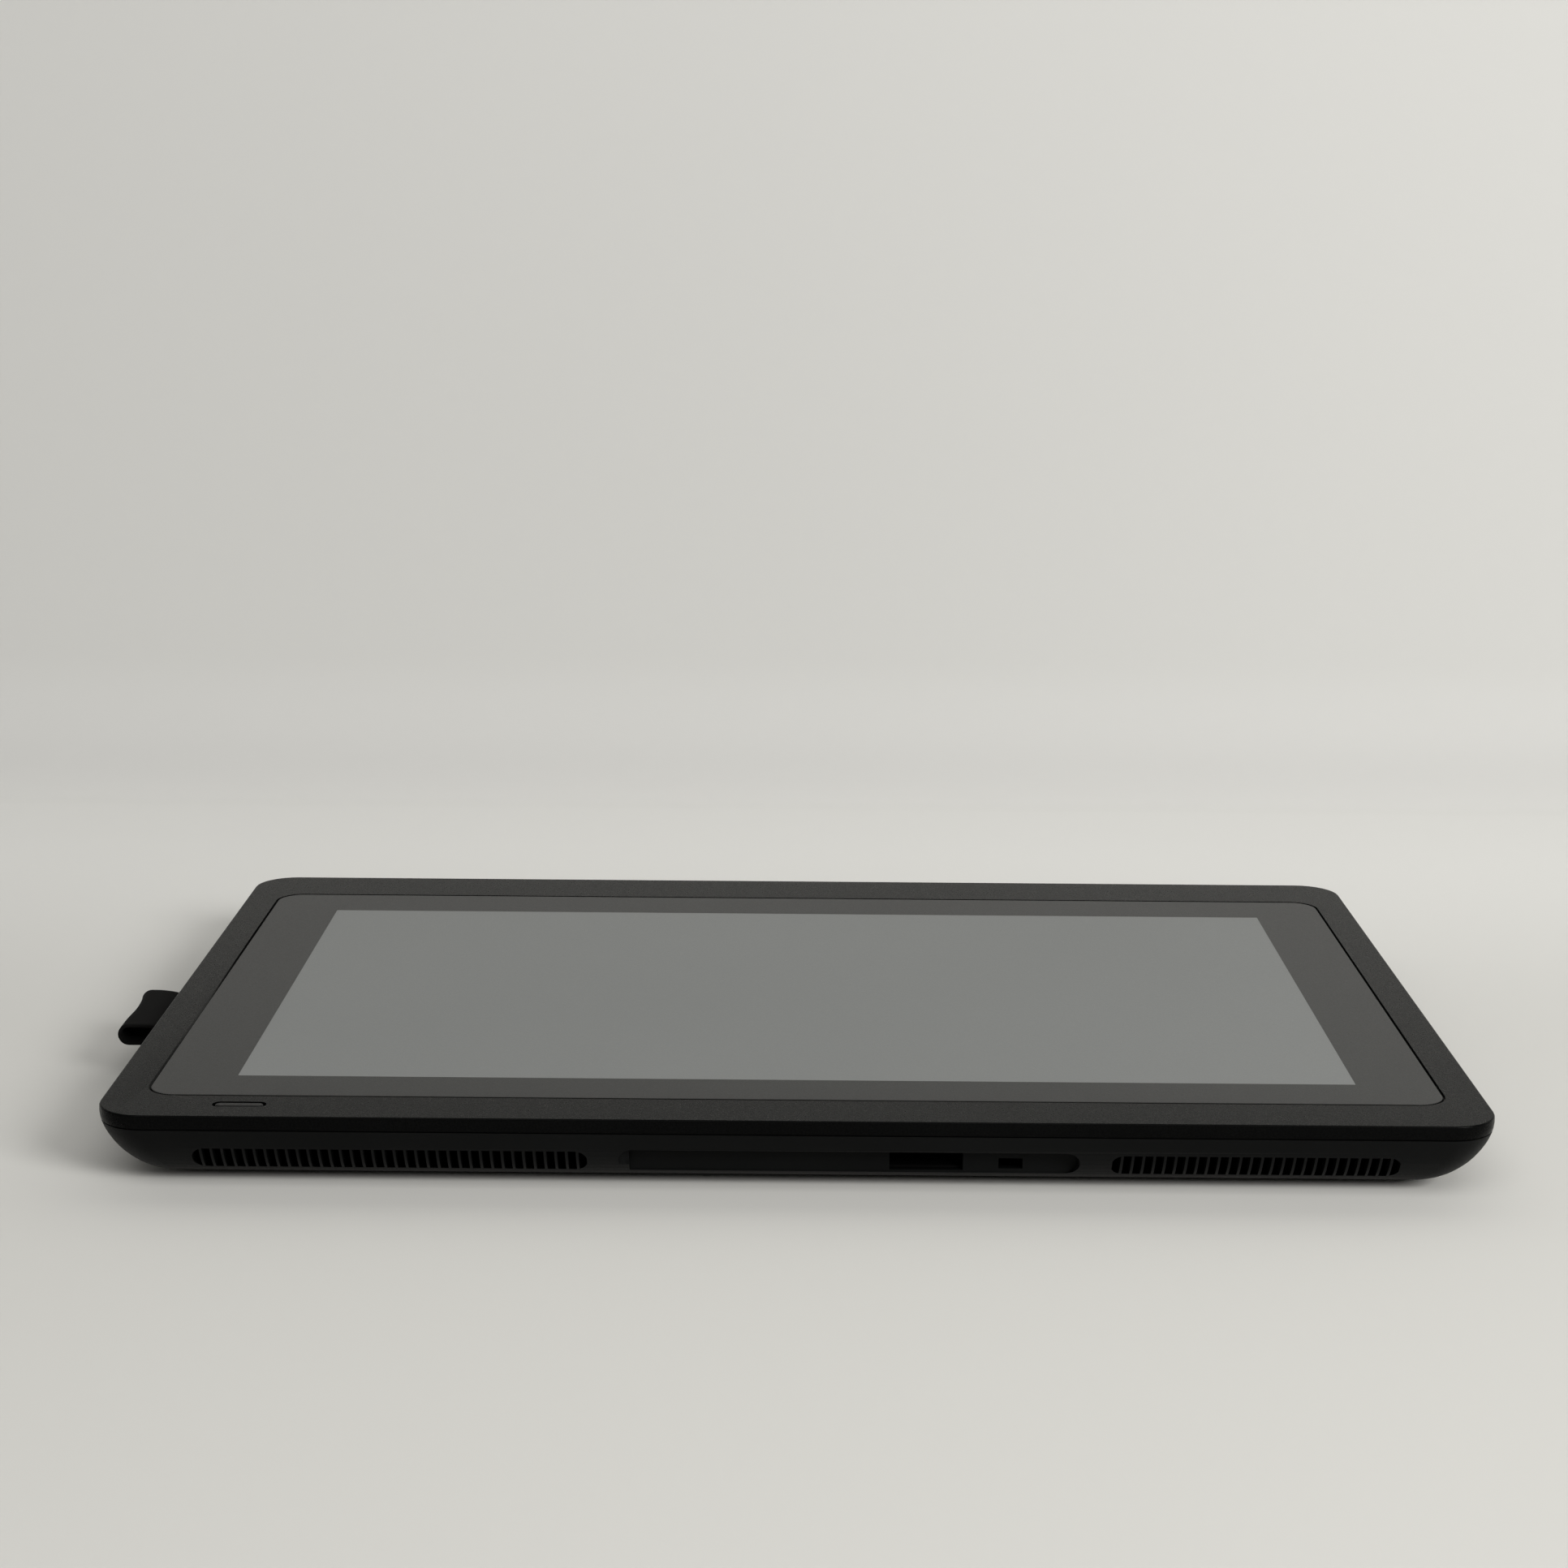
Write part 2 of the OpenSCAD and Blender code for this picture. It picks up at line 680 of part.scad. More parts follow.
// Lock bracket: a steel plate behind the slot, with a foot under the chassis plate
bracket_t = 1.2;
bracket_w = 18;
module lock_bracket() {
    foot_y = chassis_far_y - lap;
    color([0.7, 0.7, 0.7]) difference() {
        union() {
            centred_box(lock_x, recess_wall_y - bracket_t / 2, lock_z - lock_h / 4, chassis_z,
                bracket_w, bracket_t);
            translate([lock_x - bracket_w / 2, foot_y, chassis_z - bracket_t])
                cube([bracket_w, recess_wall_y - foot_y, bracket_t]);
        }
        centred_box(lock_x, recess_wall_y, lock_z - lock_h, lock_z + lock_h / 2 + clear,
            lock_w + 2 * clear, 4 * bracket_t);
    }
}

// A flat cable that leaves the stack at a height, turns down and plugs into the main board
module flex(x, from_y, z) {
    w = flex_slot[0] - 6;
    drop_y = flex_y + cable_t / 2;
    translate([x - w / 2, from_y, z]) cube([w, drop_y - from_y, cable_t]);
    translate([x - w / 2, drop_y - cable_t, board_top + flex_plug_h])
        cube([w, cable_t, z + cable_t - board_top - flex_plug_h]);
}
module lcd_flex() { color([0.8, 0.55, 0.2]) flex(lcd_flex_x, tray_far_y, film_z); }
module sensor_flex() { color([0.75, 0.5, 0.2]) flex(sensor_flex_x, sensor_far_y, sensor_z + cable_t); }

// Flat cable from the button board to the main board, behind the chassis plate
module button_cable() {
    w = 4.5;
    lead = 6;
    hop = 55;
    from_x = button_board_left + 4;
    bend_x = from_x - lead;
    hop_x = board_right + hop;
    end_x = board_right - lead;
    color([0.8, 0.55, 0.2]) translate([0, board_far_y - 0.1, 0]) rotate([90, 0, 0]) linear_extrude(w)
        polygon([[from_x, button_board_z], [bend_x, button_board_z], [hop_x, board_top + cable_t],
            [end_x, board_top + cable_t], [end_x, board_top], [hop_x, board_top],
            [bend_x, button_board_z - cable_t], [from_x, button_board_z - cable_t]]);
}

// Power button: cap in the bezel's opening, a flange that keeps it in, and a stem on the switch
module power_button() {
    color([0.2, 0.2, 0.205]) translate([button_x, button_y, 0]) {
        translate([0, 0, cap_flange_z]) linear_extrude(cap_top - cap_flange_z) pill(button_l, button_w);
        translate([0, 0, cap_flange_z]) linear_extrude(cap_flange_t)
            pill(button_l + 2 * button_gap + 0.8, button_w + 2 * button_gap + 1.6);
        post([0, 0], 3, plunger_top, cap_flange_z);
    }
}

module switch_plunger() {
    color([0.9, 0.9, 0.88]) post([button_x, button_y], plunger_d, plunger_z, plunger_top);
}

module button_switch() {
    color([0.12, 0.12, 0.12]) difference() {
        centred_box(button_x, button_y, switch_z, switch_top, 6, 3.6);
        post([button_x, button_y], plunger_d + 2 * clear, plunger_z - plunger_out, switch_top + cut);
    }
}

module status_led() {
    color([0.95, 0.95, 0.85]) centred_box(button_x + 5.4, button_y, switch_z, switch_z + 0.8, 2, 1.25);
}

module button_board() {
    color([0.05, 0.3, 0.18]) difference() {
        centred_box((button_board_left + button_board_right) / 2, button_y, button_board_z, switch_z,
            button_board_right - button_board_left, button_board_w);
        for (at = button_post_at) post(at, small_hole_d, button_board_z - cut, switch_z + cut);
    }
}

module button_board_screws() {
    color([0.6, 0.6, 0.6]) for (at = button_post_at)
        screw(at, button_board_z, small_d, button_board_t + 3, small_head_d - 0.4, small_head_h);
}

// Rear cover
// Fills the case's hollow where bays, recess and bosses need walls
module cover_walls() {
    intersection() {
        case_solid();
        union() {
            for (x = [-1, 1]) {
                translate([x * leg_x, 0, 0]) {
                    bay_box(wall, bay_top + wall);
                    notch_box(wall, notch_top + wall);
                    for (e = [-1, 1])
                        centred_box(e * (bay_w + hinge_boss_l) / 2, hinge_y, under_z, bay_top + wall,
                            hinge_boss_l, 2 * hinge_boss_r);
                }
            }
            centred_box(-leg_x, (nib_y + puller_y) / 2, bay_top, store_top, puller_d + 6,
                nib_y - puller_y + 34);
            far_pill(recess_x, recess_z, recess_l + 2 * wall, recess_h + 2 * wall, recess_wall_y,
                case_d / 2);
            for (at = cover_screw_at) post(at, boss_d, under_z, boss_top);
        }
    }
}

module bay_box(grow, top) {
    translate([-bay_w / 2 - grow, bay_near_y - grow, under_z - cut])
        cube([bay_w + 2 * grow, bay_far_y - bay_near_y + 2 * grow, top - under_z + cut]);
}

// Finger notch: a round-ended pocket that runs out of the bay past the leg's tip
module notch_box(grow, top) {
    translate([0, bay_near_y, under_z - cut]) linear_extrude(top - under_z + cut)
        rounded_rect(notch_w + 2 * grow, 2 * (notch_l + grow), notch_r + grow);
}

// A row of upright slots, cut off by the pill-shaped outline of the vent
module vent(x0, x1) {
    l = x1 - x0;
    count = floor((l + vent_pitch - vent_slot) / vent_pitch);
    intersection() {
        far_pill((x0 + x1) / 2, vent_z, l, vent_h, case_d / 2 - 1.6 * recess_in, case_d / 2 + cut);
        for (k = [0:count - 1])
            centred_box((x0 + x1) / 2 + (k - (count - 1) / 2) * vent_pitch, case_d / 2 - recess_in,
                vent_z - vent_h, vent_z + vent_h, vent_slot, 4 * recess_in);
    }
}

module rear_cover() {
    color([0.1, 0.1, 0.105]) difference() {
        union() {
            difference() {
                case_solid();
                case_hollow();
            }
            cover_walls();
        }
        translate([0, 0, seam_z - seam_gap]) linear_extrude(bezel_h + seam_gap + cut)
            square([case_w + 2 * cut, case_d + 2 * cut], center = true);
        vent(recess_x + recess_l / 2 + vent_gap, case_w / 2 - vent_side);
        vent(vent_side - case_w / 2, recess_x - recess_l / 2 - vent_gap);
        difference() {
            far_pill(recess_x, recess_z, recess_l, recess_h, recess_y, case_d / 2 + cut);
            centred_box(recess_x + recess_l / 2, recess_y, recess_z - recess_h, recess_z + recess_h,
                2 * scoop_l, recess_in * 0.7);
        }
        centred_box(port_x, recess_y, port_z - port_h / 2, port_z + port_h / 2, port_w, 3 * wall);
        centred_box(lock_x, recess_y, lock_z - lock_h / 2, lock_z + lock_h / 2, lock_w, 3 * wall);
        centred_box(port_x, recess_wall_y - socket_d / 2, port_z - socket_h / 2 - clear,
            port_z + socket_h / 2 + clear, socket_w + 2 * clear, socket_d);
        for (x = [-1, 1]) {
            translate([x * leg_x, 0, 0]) {
                bay_box(0, bay_top);
                notch_box(0, notch_top);
                translate([-pin_l / 2, hinge_y, hinge_z]) rotate([0, 90, 0])
                    cylinder(d = pin_d, h = pin_l);
            }
            centred_box(x * case_w / 2, loop_y, loop_z - tab_t / 2, loop_z + tab_t / 2 + clear,
                side_run, tab_w + 2 * clear);
            foot_pocket(front_foot, [x * front_foot_at[0], front_foot_at[1]]);
            foot_pocket(rear_foot, [x * rear_foot_at[0], rear_foot_at[1]]);
        }
        for (k = [0:nib_count - 1])
            centred_box(-leg_x, nib_y + k * nib_pitch, bay_top - cut, bay_top + nib_d + clear,
                nib_l + 2 * clear, nib_d + 2 * clear);
        post([-leg_x, puller_y], puller_d + 2 * clear, bay_top - cut, bay_top + puller_h + clear);
        for (at = cover_screw_at) {
            post(at, head_d + 0.6, under_z - cut, seat_z);
            post(at, hole_d, under_z - cut, boss_top + cut);
        }
    }
}

module foot_pocket(size, at) {
    translate([at[0], at[1], under_z - cut]) linear_extrude(foot_sink + cut)
        pill(size[0], size[1]);
}

module cover_screws() {
    color([0.3, 0.3, 0.31]) for (at = cover_screw_at)
        screw(at, seat_z, screw_d, boss_top - seat_z + 5, head_d, head_h);
}

module foot(size, at) {
    color([0.07, 0.07, 0.07]) translate([at[0], at[1], 0])
        linear_extrude(under_z + foot_sink) pill(size[0] - 2 * clear, size[1] - 2 * clear);
}
module front_feet() { for (x = [-1, 1]) foot(front_foot, [x * front_foot_at[0], front_foot_at[1]]); }
module rear_feet() { for (x = [-1, 1]) foot(rear_foot, [x * rear_foot_at[0], rear_foot_at[1]]); }

// Leg: a skin with a rim and ribs on its upper side, and a barrel on the hinge pin
leg_pockets = 4;
module leg() {
    pocket_w = (leg_w - (leg_pockets + 1) * leg_skin) / leg_pockets;
    color([0.11, 0.11, 0.115]) difference() {
        union() {
            difference() {
                translate([-leg_w / 2, leg_tip_y, leg_z]) cube([leg_w, leg_l, leg_t]);
                translate([-leg_w / 2 + leg_skin, leg_tip_y + leg_skin, leg_z + leg_skin])
                    for (k = [0:leg_pockets - 1]) translate([k * (pocket_w + leg_skin), 0, 0])
                        cube([pocket_w, leg_l - leg_t / 2 - 2 * leg_skin, leg_t]);
            }
            translate([-leg_w / 2, hinge_y, hinge_z]) rotate([0, 90, 0]) cylinder(d = leg_t, h = leg_w);
        }
        translate([-leg_w / 2 - cut, hinge_y, hinge_z]) rotate([0, 90, 0])
            cylinder(d = pin_d + 2 * pin_run, h = leg_w + 2 * cut);
    }
}
module leg_pad() {
    color([0.06, 0.06, 0.06]) translate([0, leg_tip_y, hinge_z]) rotate([90, 0, 0])
        linear_extrude(leg_pad_t) pill(leg_w - 8, leg_t - 0.8);
}
module hinge_pin() {
    color([0.75, 0.75, 0.76]) translate([-pin_l / 2, hinge_y, hinge_z]) rotate([0, 90, 0])
        cylinder(d = pin_d, h = pin_l);
}
module left_leg() { translate([-leg_x, 0, 0]) leg(); }
module left_leg_pad() { translate([-leg_x, 0, 0]) leg_pad(); }
module left_hinge_pin() { translate([-leg_x, 0, 0]) hinge_pin(); }
module right_leg() { translate([leg_x, 0, 0]) leg(); }
module right_leg_pad() { translate([leg_x, 0, 0]) leg_pad(); }
module right_hinge_pin() { translate([leg_x, 0, 0]) hinge_pin(); }

// Pen loop: webbing folded into a flat loop, its two ends held together as a tab in the side slot
loop_far_x = case_w / 2 + loop_reach;
loop_lap = 0.8;
loop_near_x = case_w / 2 - loop_lap;
clip_x = case_w / 2 - inset_at(loop_z - clip_h / 2, side_run, wall) - clip_t - clear;
module pen_loop() {
    l = loop_far_x - loop_near_x;
    color([0.04, 0.04, 0.04]) translate([0, loop_y, loop_z]) {
        translate([(loop_far_x + loop_near_x) / 2, loop_l / 2, 0]) rotate([90, 0, 0]) linear_extrude(loop_l)
            difference() {
                pill(l, loop_h);
                pill(l - 2 * loop_t, loop_h - 2 * loop_t);
            }
        translate([clip_x + clip_t, -tab_w / 2, -tab_t / 2])
            cube([loop_near_x + loop_t / 2 - clip_x - clip_t, tab_w, tab_t]);
    }
}
module loop_clip() {
    color([0.15, 0.15, 0.15]) translate([clip_x, loop_y - tab_w / 2 - 1.5, loop_z - clip_h / 2])
        cube([clip_t, tab_w + 3, clip_h]);
}

module spare_nibs() {
    color([0.12, 0.12, 0.12]) for (k = [0:nib_count - 1])
        translate([-leg_x - nib_l / 2, nib_y + k * nib_pitch, bay_top + clear + nib_d / 2])
            rotate([0, 90, 0]) {
                cylinder(d = nib_d, h = nib_l - nib_d);
                translate([0, 0, nib_l - nib_d]) cylinder(d1 = nib_d, d2 = nib_d / 2, h = nib_d);
            }
}

module nib_puller() {
    color([0.6, 0.6, 0.62]) translate([-leg_x, puller_y, bay_top + clear]) difference() {
        cylinder(d = puller_d, h = puller_h);
        translate([0, 0, -cut]) cylinder(d = puller_d - 5, h = puller_h + 2 * cut);
    }
}

front_bezel();
cover_glass();
glass_tape();
dust_gasket();
lcd_panel();
diffuser_films();
light_guide();
reflector_sheet();
led_strip();
backlight_tray();
pen_sensor_board();
sensor_shield();
chassis_plate();
bezel_screws();
main_board();
board_parts();
board_screws();
cable_socket();
lock_bracket();
lcd_flex();
sensor_flex();
button_cable();
power_button();
switch_plunger();
button_switch();
status_led();
button_board();
button_board_screws();
rear_cover();
cover_screws();
front_feet();
rear_feet();
left_leg();
left_leg_pad();
left_hinge_pin();
right_leg();
right_leg_pad();
right_hinge_pin();
pen_loop();
loop_clip();
spare_nibs();
nib_puller();
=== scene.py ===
# Pen display on a pale paper sweep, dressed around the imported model
import json
import math

import bpy
from mathutils import Matrix, Vector


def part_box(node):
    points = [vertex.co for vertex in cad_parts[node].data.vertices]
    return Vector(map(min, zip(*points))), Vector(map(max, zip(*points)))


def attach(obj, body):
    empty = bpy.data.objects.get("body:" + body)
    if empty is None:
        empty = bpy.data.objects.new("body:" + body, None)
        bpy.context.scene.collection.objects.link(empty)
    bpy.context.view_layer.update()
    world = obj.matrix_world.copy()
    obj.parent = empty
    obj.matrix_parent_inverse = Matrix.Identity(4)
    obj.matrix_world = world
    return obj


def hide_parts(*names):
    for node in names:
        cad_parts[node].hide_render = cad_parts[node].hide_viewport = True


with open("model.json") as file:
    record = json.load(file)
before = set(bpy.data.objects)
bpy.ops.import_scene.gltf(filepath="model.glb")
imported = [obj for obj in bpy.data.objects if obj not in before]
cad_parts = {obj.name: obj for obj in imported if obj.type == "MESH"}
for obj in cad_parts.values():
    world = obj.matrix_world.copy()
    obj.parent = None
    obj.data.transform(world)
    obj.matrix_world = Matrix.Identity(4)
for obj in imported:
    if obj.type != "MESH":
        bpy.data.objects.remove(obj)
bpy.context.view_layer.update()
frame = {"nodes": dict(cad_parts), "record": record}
cadNodes = frame["nodes"]
print("frame loaded:", len(cadNodes), "nodes")


# Small helpers for working as by hand

hair = 0.00001  # an edge this close to a level lies on it
alongAxis = 0.9  # part of a unit direction that counts as along an axis
acrossAxis = 0.1  # and the part that counts as across it


def pickOnly(piece):
    bpy.ops.object.select_all(action="DESELECT")
    piece.select_set(True)
    bpy.context.view_layer.objects.active = piece


def startEdit(piece, selectAll=True):
    pickOnly(piece)
    bpy.ops.object.mode_set(mode="EDIT")
    bpy.ops.mesh.select_all(action="SELECT" if selectAll else "DESELECT")


def endEdit():
    bpy.ops.object.mode_set(mode="OBJECT")


def settle(piece):  # puts the piece's place, turn and size into its mesh
    pickOnly(piece)
    bpy.ops.object.transform_apply(location=True, rotation=True, scale=True)


def applyModifier(piece, kind, **settings):
    modifier = piece.modifiers.new(kind.lower(), kind)
    for key, value in settings.items():
        setattr(modifier, key, value)
    pickOnly(piece)
    bpy.ops.object.modifier_apply(modifier=modifier.name)


def smoothShade(piece, angle=30):
    pickOnly(piece)
    bpy.ops.object.shade_smooth_by_angle(angle=math.radians(angle))


def finishShading(piece):  # smooth where faces nearly meet, flat across the large faces
    smoothShade(piece)
    applyModifier(piece, "WEIGHTED_NORMAL", mode="FACE_AREA", keep_sharp=True)


def selectEdges(piece, wanted):  # wanted(edge middle, edge direction) says which edges are picked
    bpy.ops.object.mode_set(mode="OBJECT")
    mesh = piece.data
    for edge in mesh.edges:
        first, last = (mesh.vertices[i].co for i in edge.vertices)
        edge.select = wanted((first + last) / 2, (last - first).normalized())
    bpy.ops.object.mode_set(mode="EDIT")


def paint(piece, *materials):
    piece.data.materials.clear()
    for material in materials:
        piece.data.materials.append(material)


def fit(piece, body, slot, *nodes):  # rides the piece on its body in place of the nodes
    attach(piece, body)
    if nodes:
        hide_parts(*nodes)
    return piece


# Materials

noiseSpan = (0.3, 0.7)  # where nearly all values of a noise lie
plainLook = {"stretch": (1, 1, 1), "cloud": 18, "cloudDetail": 3.0, "grain": 1600, "uneven": 0.04,
             "metal": 0.0, "gloss": 0.5, "relief": 0.25, "depth": 0.00004}  # unless a finish says otherwise


def startMaterial(name):
    material = bpy.data.materials.new(name)
    material.use_nodes = True
    tree = material.node_tree
    return material, tree, tree.nodes["Principled BSDF"]


def addNode(tree, kind, **settings):
    node = tree.nodes.new(kind)
    for key, value in settings.items():
        if key in node.inputs:
            node.inputs[key].default_value = value
        else:
            setattr(node, key, value)
    return node


def noiseOn(tree, source, scale, detail=2.0, stretch=(1, 1, 1)):
    mapping = addNode(tree, "ShaderNodeMapping")
    mapping.inputs["Scale"].default_value = stretch
    noise = addNode(tree, "ShaderNodeTexNoise", Scale=scale, Detail=detail)
    tree.links.new(source, mapping.inputs["Vector"])
    tree.links.new(mapping.outputs["Vector"], noise.inputs["Vector"])
    return noise.outputs["Fac"]


def spread(tree, value, low, high):  # maps a noise onto a range
    ramp = addNode(tree, "ShaderNodeMapRange")
    ramp.inputs["From Min"].default_value = noiseSpan[0]
    ramp.inputs["From Max"].default_value = noiseSpan[1]
    ramp.inputs["To Min"].default_value = low
    ramp.inputs["To Max"].default_value = high
    tree.links.new(value, ramp.inputs["Value"])
    return ramp.outputs["Result"]


def twoTone(tree, value, dark, pale):
    ramp = addNode(tree, "ShaderNodeValToRGB")
    ramp.color_ramp.elements[0].position = noiseSpan[0]
    ramp.color_ramp.elements[1].position = noiseSpan[1]
    ramp.color_ramp.elements[0].color = (*dark, 1)
    ramp.color_ramp.elements[1].color = (*pale, 1)
    tree.links.new(value, ramp.inputs["Fac"])
    return ramp.outputs["Color"]


def surface(name, ownLook):  # one finish: two-tone colour, uneven gloss and a fine grain
    look = {**plainLook, **ownLook}
    material, tree, shader = startMaterial(name)
    place = addNode(tree, "ShaderNodeTexCoord").outputs["Object"]
    cloud = noiseOn(tree, place, look["cloud"], look["cloudDetail"])
    grain = noiseOn(tree, place, look["grain"], stretch=look["stretch"])
    tree.links.new(twoTone(tree, cloud, look["dark"], look["pale"]), shader.inputs["Base Color"])
    smoothest = look["rough"] - look["uneven"]
    roughest = look["rough"] + look["uneven"]
    tree.links.new(spread(tree, grain, smoothest, roughest), shader.inputs["Roughness"])
    shader.inputs["Metallic"].default_value = look["metal"]
    shader.inputs["Specular IOR Level"].default_value = look["gloss"]
    bump = addNode(tree, "ShaderNodeBump", Strength=look["relief"], Distance=look["depth"])
    tree.links.new(grain, bump.inputs["Height"])
    tree.links.new(bump.outputs["Normal"], shader.inputs["Normal"])
    return material


finishes = {
    "bezel_plastic": {"dark": (0.0012, 0.0013, 0.0013), "pale": (0.0016, 0.0017, 0.0017), "rough": 0.28,
                      "gloss": 0.04},
    "cover_plastic": {"dark": (0.0018, 0.002, 0.002), "pale": (0.0028, 0.0031, 0.0031), "rough": 0.5,
                      "gloss": 0.08},
    "cover_glass": {"dark": (0.0085, 0.0088, 0.0086), "pale": (0.0098, 0.0101, 0.0099), "rough": 0.4,
                    "grain": 3000, "gloss": 0.3},
    "tape": {"dark": (0.0008, 0.0008, 0.0008), "pale": (0.0014, 0.0014, 0.0014), "rough": 0.8, "gloss": 0.1},
    "foam": {"dark": (0.006, 0.006, 0.006), "pale": (0.012, 0.012, 0.012), "rough": 0.95, "grain": 900,
             "relief": 0.8, "depth": 0.0002},
    "panel_glass": {"dark": (0.12, 0.12, 0.112), "pale": (0.13, 0.13, 0.122), "rough": 0.3, "grain": 3000},
    "white_film": {"dark": (0.8, 0.8, 0.79), "pale": (0.86, 0.86, 0.85), "rough": 0.6},
    "clear_acrylic": {"dark": (0.62, 0.68, 0.7), "pale": (0.68, 0.73, 0.75), "rough": 0.12},
    "light_strip": {"dark": (0.7, 0.62, 0.2), "pale": (0.8, 0.72, 0.3), "rough": 0.4},
    "steel_sheet": {"dark": (0.42, 0.43, 0.44), "pale": (0.52, 0.53, 0.54), "rough": 0.38, "metal": 1.0,
                    "stretch": (0.05, 1, 1)},
    "plate_alloy": {"dark": (0.4, 0.41, 0.43), "pale": (0.47, 0.48, 0.5), "rough": 0.45, "metal": 1.0},
    "circuit_board": {"dark": (0.006, 0.07, 0.03), "pale": (0.012, 0.1, 0.045), "rough": 0.35, "cloud": 260},
    "chips": {"dark": (0.007, 0.007, 0.008), "pale": (0.012, 0.012, 0.013), "rough": 0.6},
    "screw_steel": {"dark": (0.1, 0.1, 0.105), "pale": (0.15, 0.15, 0.155), "rough": 0.36, "metal": 1.0},
    # The socket is near black with little gloss: painted shade deep inside the port.
    "socket_plastic": {"dark": (0.0005, 0.0005, 0.0005), "pale": (0.001, 0.001, 0.001), "rough": 0.8,
                       "gloss": 0.1},
    "flat_cable": {"dark": (0.45, 0.2, 0.03), "pale": (0.52, 0.25, 0.05), "rough": 0.35},
    "button_plastic": {"dark": (0.005, 0.0051, 0.0051), "pale": (0.0062, 0.0063, 0.0063), "rough": 0.42,
                       "gloss": 0.16},
    "white_plastic": {"dark": (0.75, 0.75, 0.72), "pale": (0.8, 0.8, 0.78), "rough": 0.35},
    "rubber": {"dark": (0.006, 0.006, 0.006), "pale": (0.01, 0.01, 0.01), "rough": 0.8, "relief": 0.4},
    "pin_steel": {"dark": (0.5, 0.5, 0.51), "pale": (0.58, 0.58, 0.59), "rough": 0.25, "metal": 1.0,
                  "stretch": (0.05, 1, 1)},
    "nib_plastic": {"dark": (0.012, 0.012, 0.012), "pale": (0.018, 0.018, 0.018), "rough": 0.4},
}
paints = {slot: surface(slot + "_finish", look) for slot, look in finishes.items()}
picturePaint = surface("picture_off_finish", {"dark": (0.166, 0.174, 0.172), "pale": (0.174, 0.182, 0.18),
                                              "rough": 0.45, "grain": 3000, "cloud": 6})
# Near-black paint on the glass rim: painted shade for the dark gap line round the glass.
glassRimPaintedShade = surface("glass_rim_painted_shade", {"dark": (0.0003, 0.0003, 0.0003), "pale": (0.0006, 0.0006, 0.0006),
                                          "rough": 0.9, "gloss": 0.02})

weave = {"thread": 0.0006, "dark": (0.001, 0.001, 0.001), "pale": (0.004, 0.004, 0.0038), "rough": 0.9,
         "gloss": 0.1, "relief": 0.6, "depth": 0.00025}


def webbingPaint():  # over-and-under threads along the strip's own map, darker in the hollows as painted shade
    material, tree, shader = startMaterial("webbing_finish")
    place = addNode(tree, "ShaderNodeTexCoord").outputs["UV"]
    turns = math.pi / weave["thread"]
    split = addNode(tree, "ShaderNodeSeparateXYZ")
    tree.links.new(place, split.inputs["Vector"])

    def ripple(value):
        scaled = addNode(tree, "ShaderNodeMath", operation="MULTIPLY")
        scaled.inputs[1].default_value = turns
        tree.links.new(value, scaled.inputs[0])
        sine = addNode(tree, "ShaderNodeMath", operation="SINE")
        tree.links.new(scaled.outputs["Value"], sine.inputs[0])
        return sine.outputs["Value"]

    cross = addNode(tree, "ShaderNodeMath", operation="MULTIPLY")
    tree.links.new(ripple(split.outputs["X"]), cross.inputs[0])
    tree.links.new(ripple(split.outputs["Y"]), cross.inputs[1])
    height = addNode(tree, "ShaderNodeMapRange")
    height.inputs["From Min"].default_value = -1
    tree.links.new(cross.outputs["Value"], height.inputs["Value"])
    # The colour follows the weave's height: painted shade in the hollows between threads.
    tree.links.new(twoTone(tree, height.outputs["Result"], weave["dark"], weave["pale"]),
                   shader.inputs["Base Color"])
    bump = addNode(tree, "ShaderNodeBump", Strength=weave["relief"], Distance=weave["depth"])
    tree.links.new(height.outputs["Result"], bump.inputs["Height"])
    tree.links.new(bump.outputs["Normal"], shader.inputs["Normal"])
    shader.inputs["Roughness"].default_value = weave["rough"]
    shader.inputs["Specular IOR Level"].default_value = weave["gloss"]
    return material


paints["webbing"] = webbingPaint()
for part in frame["record"]["subparts"]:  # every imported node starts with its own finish
    for slot in cadNodes[part["node"]].material_slots:
        slot.material = paints[part["material_slot"]]
print("materials made:", len([*paints, picturePaint, glassRimPaintedShade]))


# Camera, beyond the far edge of the tablet

viewpoint = {"place": (0.001823, 0.938004, 0.306150), "azimuth": 180.1856, "elevation": 12.6912,
             "roll": 0.4228, "lens": 65.4065, "sensor": 36.0}


def addCamera():
    bpy.ops.object.camera_add(location=viewpoint["place"])
    camera = bpy.context.object
    camera.data.sensor_fit = "HORIZONTAL"
    camera.data.sensor_width = viewpoint["sensor"]
    camera.data.lens = viewpoint["lens"]
    turn, rise, roll = (math.radians(viewpoint[key]) for key in ("azimuth", "elevation", "roll"))
    back = Vector((math.sin(turn) * math.cos(rise), -math.cos(turn) * math.cos(rise), math.sin(rise)))
    right = Vector((0, 0, 1)).cross(back).normalized()
    up = back.cross(right)
    rightRolled = right * math.cos(roll) + up * math.sin(roll)
    upRolled = up * math.cos(roll) - right * math.sin(roll)
    pose = Matrix((rightRolled, upRolled, back)).transposed().to_4x4()
    pose.translation = Vector(viewpoint["place"])
    camera.matrix_world = pose
    bpy.context.scene.camera = camera


addCamera()


# Smooth copies of the moulded shells and other rigid pieces

smoothing = {"weld": 0.000002, "flatAngle": 0.2, "crownSteps": 3, "edgeSteps": 2, "edgeAngle": 40}


